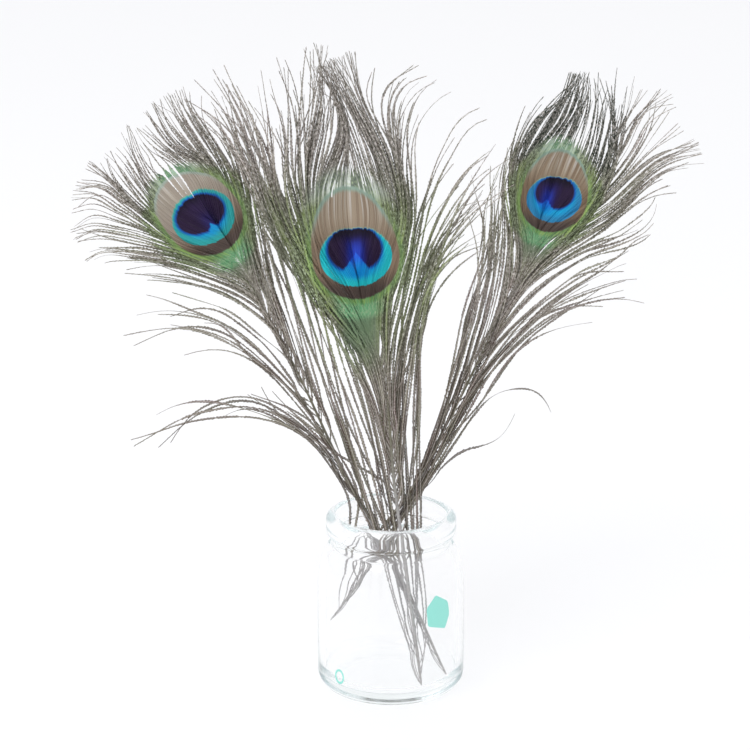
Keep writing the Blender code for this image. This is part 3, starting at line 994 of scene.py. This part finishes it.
# %% Waves, hooks and the first bend
WAVE_TURN, CURL_SPREAD = 0.06, 0.2  # radians
WAVES = (1.0, 3.0)  # along one barb
FEWEST_RINGS = 6
FOOT_BULGE, BULGE_LENGTH = 1.3, 16.0  # a barb leaves the shaft at an angle before it turns up


def wave(share, turns, draw):
    """A sine wave with this many turns that starts anywhere."""
    return np.sin(math.tau * (turns * share + draw.uniform()))


def wander(feather, barb, draw):
    """The final plane curve of one barb, with its waves and its tip, as even points."""
    line = barb["line"][:round(GUIDE_POINTS * draw.uniform(barb["kept"], 1.0))]
    line = even_line(line, max(FEWEST_RINGS, int(way_along(line)[-1] / RING_GAP)))
    share = np.linspace(0.0, 1.0, len(line) - 1)
    waves = draw.normal(0.0, WAVE_TURN) * wave(share, draw.uniform(*WAVES), draw)
    hook = feather["hooks"][int(barb["side"] > 0)]
    curl = barb["side"] * draw.normal(hook, CURL_SPREAD) * ease(share, 0.6, 1.0) ** 1.5
    if not barb["loose"]:
        waves, curl = waves * 0.0, draw.normal(0.0, CURL_SPREAD) * ease(share, 0.8, 1.0)
    line = turned_line(line, waves * share + curl)
    run = np.arange(len(line))[:, None] * RING_GAP
    bulge = np.sin(math.pi * np.clip(run / BULGE_LENGTH, 0.0, 1.0)) * FOOT_BULGE * barb["loose"]
    return line + across_line(line) * bulge * barb["side"]


# %% Widths
THIN_BELOW = ((20.0, 0.5), (50.0, 0.75), (75.0, 1.2), (125.0, 1.0))  # height, and how wide barbs are there
TIP_HALF_WIDTH = 0.14
PINCHED = 0.05  # the share of the rings where a barb is at half its width
SHORT_EDGE = 0.55  # the width of an edge between two teeth
TOOTH_ROUGHNESS = (0.75, 1.25)
TOOTH_SWEEP = 0.75  # how far a tooth leans towards the tip
DENSE_OVERLAP = 0.62  # how far an edge reaches towards the next barb, as a share of the gap
MOST_WIDENED = 0.8


def loose_widths(half_width, share, draw):
    """Half widths of the two edges and how far their teeth lean, ring by ring."""
    rings = len(share)
    swell = 1.0 + 0.12 * wave(share, 3, draw) - 0.5 * (draw.random(rings) < PINCHED)
    base = half_width * swell * ease(share, -0.1, 0.08) * (1 - ease(share, 0.75, 1.0) * 0.65)
    tooth = (np.arange(rings) + draw.integers(0, 2)) % 2 == [[0], [1]]
    rough = draw.uniform(*TOOTH_ROUGHNESS, (2, rings))
    left, right = np.maximum(base * np.where(tooth, rough, SHORT_EDGE), TIP_HALF_WIDTH)
    return left, right, tooth * TOOTH_SWEEP * base


def gap_to(line, other):
    """How far the next barb runs beside this one, ring by ring."""
    nearest = other[np.minimum(np.arange(len(line)), len(other) - 1)]
    return np.abs(((nearest - line) * across_line(line)).sum(1))


# %% Growing a feather
LAYER_DEPTH, BOW_DEPTH = 2.0, 2.5  # how far loose barbs lie in front of or behind the vane's surface
DENSE_LAYER = 0.12  # every other dense barb lies this far back
TWIST_START, TWIST_SWING = 0.5, 0.7  # radians
RIDGE_HEIGHT = 0.24
LOOSE_COLUMNS, DENSE_COLUMNS = 50, 60  # barbs side by side on the maps


def level_and_twist(number, share, dense, draw):
    """How far back each ring lies, and how far it turns about its stem. Dense barbs lie in two layers."""
    layer = draw.uniform(-1.0, 1.0) * LAYER_DEPTH * ease(share, 0.0, 0.3)
    bow = draw.normal(0.0, BOW_DEPTH) * ease(share, 0.3, 1.0)
    level = (layer + bow) * (1 - dense) + DENSE_LAYER * (number % 2) * dense
    spin = draw.uniform(-TWIST_START, TWIST_START) + TWIST_SWING * wave(share, draw.uniform(*WAVES), draw)
    return level, spin * (1 - dense) + draw.normal(0.0, 0.08) * dense


def grow(feather, seed):
    """All the barbs of one feather, as a loose pile and a dense pile."""
    draw = np.random.default_rng(seed)
    barbs = fan_barbs(feather, draw)
    clump(feather, barbs, draw)
    fan_size = len(barbs)
    barbs += single_barbs(feather, draw)
    lines = [wander(feather, barb, draw) for barb in barbs]
    loose_pile, dense_pile = BarbPile(LOOSE_COLUMNS), BarbPile(DENSE_COLUMNS)
    for number, (barb, line) in enumerate(zip(barbs, lines)):
        x, z = line.T
        rings = len(line)
        share = np.linspace(0.0, 1.0, rings)
        dense = (1.0 - ease(oval_at(eye_places(feather, x, z)), 1.05, FRINGE)) * (number < fan_size)
        left, right, lean = loose_widths(barb["width"] * look_up(z, THIN_BELOW), share, draw)
        for reach, beside in ((left, number - 1), (right, number + 1)):
            if 0 <= beside < fan_size:
                more = gap_to(line, lines[beside]) * DENSE_OVERLAP - reach
                reach += more.clip(-2, MOST_WIDENED) * dense
        level, twist = level_and_twist(number, share, dense, draw)
        place = np.stack([x, depth_at(feather, x, z) + level, z], 1)
        ridge = RIDGE_HEIGHT * (1 - 0.6 * share)
        facing = facing_at(feather, x, z)
        points = ribbon_points(place, facing, twist, left, right, ridge, lean * (1 - dense))
        pile = loose_pile if barb["loose"] else dense_pile
        pile.add(points, rings, share * rings * RING_GAP, eye_places(feather, points[:, 0], points[:, 2]))
    return loose_pile, dense_pile


# %% [markdown]
# ## Feather colours
# The eye is five zones, one inside the other: a bronze oval with a green edge, a turquoise ring that is
# flat on top, a dark violet heart, and a blue wedge that cuts into the heart from below. Each zone is a
# distance field in u and v, and its edge is where the field passes one.


# %% Eye fields
RING_HALF_WIDTH = 15.2
RING_FLAT, HEART_FLAT = 12.6, 12.0  # where the ring and the heart are cut flat on top
RING_SOFT, HEART_SOFT, NOTCH_SOFT = 0.12, 0.15, 0.45  # how softly the cuts run into the round outlines
NOTCH_SLOPE = 0.7  # half the width of the wedge in a heart, for each millimetre below its apex
NOTCH_STEEPNESS = 0.2  # how much the heart's field grows for each millimetre into the wedge
HEART_ASIDE = -0.4
BARB_SHIFT = 0.7  # how far the pattern is shifted along v from barb to barb, which frays its edges


def new_group(name, inputs, outputs):
    """An empty node group: its nodes, what it is given and its results. Sockets are named by kind."""
    tree = bpy.data.node_groups.new(name, "ShaderNodeTree")
    for way, kinds in (("INPUT", inputs), ("OUTPUT", outputs)):
        for kind, socket_names in kinds.items():
            for socket_name in socket_names:
                tree.interface.new_socket(socket_name, in_out=way, socket_type="NodeSocket" + kind)
    return Nodes(tree), tree.nodes.new("NodeGroupInput").outputs, tree.nodes.new("NodeGroupOutput").inputs


def chance_of(nodes, barb):
    """A random value from 0 to 1 that is the same all over one barb."""
    number = {"W": nodes.calc("FLOOR", barb)}
    return nodes.add("TexWhiteNoise", number, noise_dimensions="1D").outputs["Value"]


def length_of(nodes, u, v):
    return nodes.calc("SQRT", nodes.calc("ADD", nodes.times(u, u), nodes.times(v, v)))


def oval_field(nodes, places, middle, half_sizes):
    """1 on the outline of an ellipse, less inside and more outside."""
    away = [nodes.calc("SUBTRACT", place, centre) for place, centre in zip(places, middle)]
    return length_of(nodes, *[nodes.calc("DIVIDE", far, half) for far, half in zip(away, half_sizes)])


def eye_fields(nodes, given):
    """Where a place lies in the eye: its u and v, its barb's shade and the fields of all zones."""
    calc = nodes.calc
    shade = chance_of(nodes, given["Barb"])
    u, v = nodes.split(given["Eye"])[:2]
    v = calc("ADD", v, calc("MULTIPLY_ADD", shade, BARB_SHIFT, -BARB_SHIFT / 2))
    off_axis = calc("ABSOLUTE", calc("SUBTRACT", u, given["Axis"]))
    above, below = calc("MAXIMUM", v, 0.0), calc("MINIMUM", v, 0.0)
    tall = calc("ADD", calc("DIVIDE", above, OVAL_ABOVE), calc("DIVIDE", below, OVAL_BELOW))
    across = calc("DIVIDE", calc("MULTIPLY_ADD", above, CROWN_LEAN, u), OVAL_HALF_WIDTH)
    ring = oval_field(nodes, (u, v), (0.0, 0.0), (RING_HALF_WIDTH, RING_TOP))
    ring = calc("SMOOTH_MAX", ring, calc("DIVIDE", v, RING_FLAT), RING_SOFT)
    heart_sizes = (given["Heart width"], given["Heart height"])
    heart = oval_field(nodes, (u, v), (HEART_ASIDE, given["Heart middle"]), heart_sizes)
    heart = calc("SMOOTH_MAX", heart, calc("DIVIDE", v, HEART_FLAT), HEART_SOFT)
    below_apex = calc("SUBTRACT", given["Apex"], v)
    notch = calc("SUBTRACT", nodes.times(below_apex, NOTCH_SLOPE), off_axis)
    heart = calc("SMOOTH_MAX", heart, calc("MULTIPLY_ADD", notch, NOTCH_STEEPNESS, 1.0), NOTCH_SOFT)
    return SimpleNamespace(
        u=u, v=v, shade=shade, off_axis=off_axis, below_apex=below_apex,
        oval=length_of(nodes, across, tall), ring=ring, heart=heart)


# %% Colours round the eye
def surround(nodes, given, at):
    """Olive barbs, a dark tuft above, a green fan below, and the green and lime edge of the oval, with
    painted glints on the olive and green barbs.
    """
    calc, edge, times, over = nodes.calc, nodes.edge, nodes.times, nodes.over
    olive = over(
        paint(0.31, 0.33, 0.24),
        (paint(0.52, 0.58, 0.36), edge(at.shade, 0.4, 0.95)),
        # painted glints lighten the olive barbs
        (paint(0.78, 0.80, 0.70), times(given["Glints"], 0.5)))
    far = times(edge(at.oval, 3.4, 1.5), edge(at.v, 50.0, 15.0), given["Olive"])
    # where painted glints fall, the dark tuft keeps only a little of its darkness
    dull = calc("MULTIPLY_ADD", given["Glints"], -0.8, 1.0)
    above = times(edge(at.v, 8.0, 24.0), edge(calc("ABSOLUTE", at.u), 34.0, 20.0))
    low_half = edge(at.v, 24.0, 8.0)
    fan = times(edge(at.off_axis, 11.0, 3.0), edge(at.v, given["Fan end"], -22.0), low_half)
    fringe = over(paint(0.40, 0.44, 0.40), (paint(0.88, 0.90, 0.88), edge(at.shade, 0.3, 0.55)))
    green = over(
        olive,
        (paint(0.40, 0.64, 0.46), edge(at.off_axis, 13.0, 4.0)),
        (fringe, times(edge(at.v, 21.0, 31.0), given["Fringe"])),
        # painted glints lighten the green barbs
        (paint(0.68, 0.74, 0.60), times(given["Glints"], 0.8)))
    near = calc("SUBTRACT", at.oval, calc("MULTIPLY_ADD", low_half, 0.2, 1.35))
    rim = times(edge(at.oval, 1.18, 1.05), edge(at.v, 22.0, 4.0))
    return over(
        given["Plain barb"],
        (olive, far),
        (paint(0.15, 0.20, 0.15), times(above, given["Tuft"], dull)),
        (paint(0.42, 0.52, 0.40), fan),
        (green, edge(near, 0.0, -0.2)),
        (over(paint(0.38, 0.58, 0.33), (paint(0.62, 0.74, 0.42), at.shade)),
         times(rim, calc("MULTIPLY_ADD", at.shade, 0.6, 0.3))))


def bronze(nodes, given, at):
    """Dark below and light above, where some barbs are pale and some brown, and teal at the top."""
    edge, times = nodes.edge, nodes.times
    return nodes.over(
        paint(0.34, 0.29, 0.27),
        (paint(0.52, 0.44, 0.36), edge(at.v, -16.0, -3.0)),
        (paint(0.63, 0.57, 0.49), edge(at.v, 4.0, 18.0)),
        (paint(0.74, 0.71, 0.68), times(edge(at.shade, 0.3, 1.1), edge(at.v, 12.0, 26.0))),
        (paint(0.50, 0.42, 0.34), times(edge(at.shade, 0.6, -0.2), edge(at.v, 6.0, 14.0))),
        (paint(0.55, 0.64, 0.58), times(edge(at.oval, 0.90, 0.97), edge(at.v, 6.0, 22.0))),
        (paint(0.80, 0.79, 0.77), times(edge(at.v, -13.0, 6.0), given["Faded"])))


# %% Ring, wedge and heart
def turquoise(nodes, given, at):
    """Brighter inwards and blue round the heart, with a grey green line along its flat top."""
    edge, times = nodes.edge, nodes.times
    return nodes.over(
        given["Ring"],
        (paint(0.11, 0.66, 0.86), edge(at.ring, 0.9, 0.6)),
        (paint(0.10, 0.38, 0.72), edge(at.heart, 1.16, 1.02)),
        (paint(0.55, 0.68, 0.60), times(edge(at.ring, 0.95, 0.985), edge(at.v, 2.0, 8.0))))


def wedge(nodes, given, at):
    """The blue wedge and how much of it shows."""
    edge = nodes.edge
    blue = nodes.over(paint(0.18, 0.34, 0.86), (paint(0.08, 0.60, 0.84), edge(at.below_apex, 0.0, 9.0)))
    shown = nodes.times(edge(at.off_axis, 6.5, 2.0), edge(at.v, 5.0, -1.0), edge(at.ring, 0.8, 0.6))
    return blue, nodes.times(shown, given["Glow"])


def plum(nodes, given, at):
    """The heart: violet near its axis, blue above the wedge's apex and nearly black on top."""
    edge, times, glow = nodes.edge, nodes.times, given["Glow"]
    return nodes.over(
        paint(0.18, 0.12, 0.24),
        (paint(0.14, 0.11, 0.36), times(edge(at.off_axis, 8.0, 2.0), glow)),
        (paint(0.16, 0.26, 0.72), times(edge(at.off_axis, 5.0, 0.5), edge(at.below_apex, -8.0, 0.0), glow)),
        (paint(0.09, 0.06, 0.14), edge(at.v, 5.0, 11.0)))


def make_eye_group():
    nodes, given, result = new_group("eye pattern", {
        "Vector": ("Eye",), "Color": ("Plain barb", "Ring"),
        "Float": ("Barb", "Glints", "Axis", "Apex", "Glow", "Olive", "Heart middle", "Heart width",
                  "Heart height", "Fan end", "Fringe", "Tuft", "Faded"),
    }, {"Color": ("Colour",), "Float": ("Gloss",)})
    at = eye_fields(nodes, given)
    uneven = nodes.times(nodes.calc("FRACT", nodes.times(at.shade, 7.0)), 0.16)
    colour = nodes.over(
        surround(nodes, given, at),
        (bronze(nodes, given, at), nodes.edge(at.oval, 1.02, 0.98)),
        (turquoise(nodes, given, at), nodes.edge(at.ring, 1.01, 0.985)),
        wedge(nodes, given, at),
        (plum(nodes, given, at), nodes.edge(at.heart, 1.05, 0.95)),
        (paint(0.12, 0.11, 0.10), uneven))
    nodes.feed(result["Colour"], colour)
    nodes.feed(result["Gloss"], nodes.edge(at.ring, 1.02, 0.98))
    return nodes.tree


eye_group = make_eye_group()
print("eye pattern:", len(eye_group.nodes), "nodes")

# %% [markdown]
# ## Speckles on every barb
# Away from the eye a barb is brown or olive, and darker or lighter than the next. A painted highlight runs
# along its ridge, painted glints of its barbules show as fine light dots, most of them high up, and a
# painted veil of the glass's reflections pales its lower end inside the jar.

# %% Speckle group
DEEP_BARB, DARK_BARB = paint(0.19, 0.17, 0.15), paint(0.35, 0.27, 0.24)
# the second colour on the next line is painted light: the painted highlight on each ridge and the painted
# glints
HIGHLIGHT_BARB, OLIVE_BARB = paint(0.93, 0.90, 0.88), paint(0.41, 0.40, 0.31)
GLASS_VEIL_BARB = paint(0.70, 0.69, 0.70)  # a painted veil: the paleness that the glass's reflections lay over the barbs inside the jar
GLINT_NOISE = ((0.65, 7.3, 1.0), 1.0)  # how often it changes along a barb and from barb to barb, and detail
TINT_NOISE = ((0.03, 3.7, 1.0), 0.0)


def make_speckle_group():
    nodes, given, result = new_group(
        "barb speckle", {"Vector": ("Barb", "Place"), "Color": ("Dark", "Light", "Tint")},
        {"Color": ("Colour",), "Float": ("Glints",)})
    calc, edge, times = nodes.calc, nodes.edge, nodes.times

    def noise(stretch, detail):
        place = nodes.add("VectorMath", {0: given["Barb"], 1: stretch}, operation="MULTIPLY").outputs[0]
        sockets = {"Vector": place, "Scale": 1.0, "Detail": detail}
        return nodes.add("TexNoise", sockets, noise_dimensions="2D").outputs["Fac"]

    height, barb = nodes.split(given["Place"])[2], nodes.split(given["Barb"])[1]
    darkest = calc("MULTIPLY_ADD", edge(height, 0.13, 0.08), 0.5, 0.45)
    # a painted highlight along the middle of each barb's ridge
    ridge_glint = edge(calc("FRACT", barb), RIDGE_SHARE - 0.2, RIDGE_SHARE)
    # painted glints of the barbules, as fine light dots
    glints = edge(noise(*GLINT_NOISE), 0.51, 0.62)
    high_up = calc("MULTIPLY_ADD", edge(height, 0.11, 0.22), 0.84, 0.12)
    colour = nodes.over(
        given["Dark"],
        (given["Tint"], edge(noise(*TINT_NOISE), 0.38, 0.62)),
        (DEEP_BARB, times(chance_of(nodes, barb), darkest)),
        (given["Light"], times(ridge_glint, 0.5)),
        (given["Light"], times(glints, high_up)),
        # painted veil of the glass's reflections over the lower ends inside the jar
        (GLASS_VEIL_BARB, times(edge(height, 0.070, 0.058), 0.8)))
    nodes.feed(result["Colour"], colour)
    nodes.feed(result["Glints"], glints)
    return nodes.tree


speckle_group = make_speckle_group()
print("speckle:", len(speckle_group.nodes), "nodes")

# %% [markdown]
# ## Materials of the feathers
# The two groups together colour the fronts of the barbs. What sets the three eyes apart is a small table
# of what goes into the eye group. The backs of the barbs are dull and show no eye.

# %% Barb materials
EYES = {  # what the eye group is given, for the left, the middle and the right eye
    "Axis": (1.0, 0.0, -3.7),
    "Apex": (-4.0, 1.6, -0.5),  # of the wedge
    "Glow": (0.15, 1.0, 0.8),  # of the blues in the heart
    "Olive": (0.35, 0.85, 0.4),  # how olive the barbs round the eye are
    "Fan end": (-36.0, -60.0, -40.0),
    "Fringe": (0.4, 1.0, 0.5),
    "Tuft": (0.25, 0.3, 1.0),
    "Faded": (0.3, 0.05, 0.0),
    "Heart middle": (1.8, 3.2, 3.4),
    "Heart width": (12.0, 11.2, 10.6),
    "Heart height": (8.8, 10.0, 9.2),
    "Ring": (paint(0.22, 0.68, 0.68), paint(0.18, 0.79, 0.82), paint(0.20, 0.55, 0.74)),
}
BARB_ROUGHNESS, BARB_SPECULAR, EYE_METAL = 0.5, 0.2, 0.35


def barb_material(name, dark, light, tint, heart=None):
    """heart holds what sets this eye apart from the others; without it there is no eye."""
    material = plain_material(name, dark, BARB_ROUGHNESS)
    nodes = Nodes(material.node_tree)
    shader = material.node_tree.nodes["Principled BSDF"].inputs
    shader["Specular IOR Level"].default_value = BARB_SPECULAR
    barb = nodes.add("UVMap", uv_map="Barb").outputs["UV"]
    place = nodes.add("TexCoord").outputs["Object"]
    # the Light colour paints the highlight on the ridges and the glints of the barbules
    given = {"Barb": barb, "Place": place, "Dark": dark, "Light": light, "Tint": tint}
    speckle = nodes.add("Group", given, node_tree=speckle_group).outputs
    colour = speckle["Colour"]
    if heart:
        given = {
            "Eye": nodes.add("UVMap", uv_map="Eye").outputs["UV"], "Barb": nodes.split(barb)[1],
            "Glints": speckle["Glints"], "Plain barb": colour, **heart}
        eye = nodes.add("Group", given, node_tree=eye_group).outputs
        colour = eye["Colour"]
        nodes.feed(shader["Metallic"], nodes.times(eye["Gloss"], EYE_METAL))
    nodes.feed(shader["Base Color"], colour)
    return material


fronts = {}
for column, name in enumerate(FEATHERS):
    heart = {socket_name: amounts[column] for socket_name, amounts in EYES.items()}
    fronts[name] = barb_material(name + " barb front", DARK_BARB, HIGHLIGHT_BARB, OLIVE_BARB, heart)
barb_back = barb_material(
    "barb back", paint(0.42, 0.37, 0.33), paint(0.50, 0.46, 0.41), paint(0.44, 0.39, 0.33))
print("barb materials:", len(fronts) + 1)


# %% Shaft material
SHAFT_ROUGHNESS = 0.4
GRAIN_SCALE = 900.0  # for each metre


def shaft_material():
    """Pale low down inside the jar, partly the bare quill's own colour and partly a painted veil of the
    glass's reflections; darker and olive on its way up, with a fine dark grain.
    """
    material = plain_material("shaft", (0.0, 0.0, 0.0, 1.0), SHAFT_ROUGHNESS)
    nodes = Nodes(material.node_tree)
    place = nodes.add("TexCoord").outputs["Object"]
    grain = nodes.add("TexNoise", {"Vector": place, "Scale": GRAIN_SCALE}).outputs["Fac"]
    colour = nodes.over(
        # pale inside the jar: the bare quill's colour with a painted veil of the glass's reflections
        paint(0.66, 0.65, 0.65),
        (paint(0.44, 0.43, 0.36), nodes.edge(nodes.split(place)[2], 0.07, 0.12)),
        (paint(0.34, 0.30, 0.25), nodes.times(nodes.edge(grain, 0.45, 0.65), 0.35)))
    nodes.feed(material.node_tree.nodes["Principled BSDF"].inputs["Base Color"], colour)
    return material


shaft_paint = shaft_material()
print("shaft material:", len(shaft_paint.node_tree.nodes), "nodes")

# %% [markdown]
# ## Growing the three feathers
# Each feather becomes three pieces: its shaft, its loose barbs and the vane of its eye. Together they
# take the place of its solid.

# %% Feathers
FIRST_SEED = 10

for seed, (name, feather) in enumerate(FEATHERS.items(), FIRST_SEED):
    loose_pile, dense_pile = grow(feather, seed)
    shafts[name].data.materials.append(shaft_paint)
    barb_pieces = [loose_pile.make_piece(name + "_loose_barbs"), dense_pile.make_piece(name + "_eye_vane")]
    for piece in barb_pieces:
        piece.data.materials.append(fronts[name])
        piece.data.materials.append(barb_back)
    for piece in [shafts[name], *barb_pieces]:
        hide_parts(feather["node"])
        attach(piece, "root")
    for pile in (loose_pile, dense_pile):
        print(name, pile.count, "barbs,", sum(len(face) - 2 for face in pile.faces), "triangles")
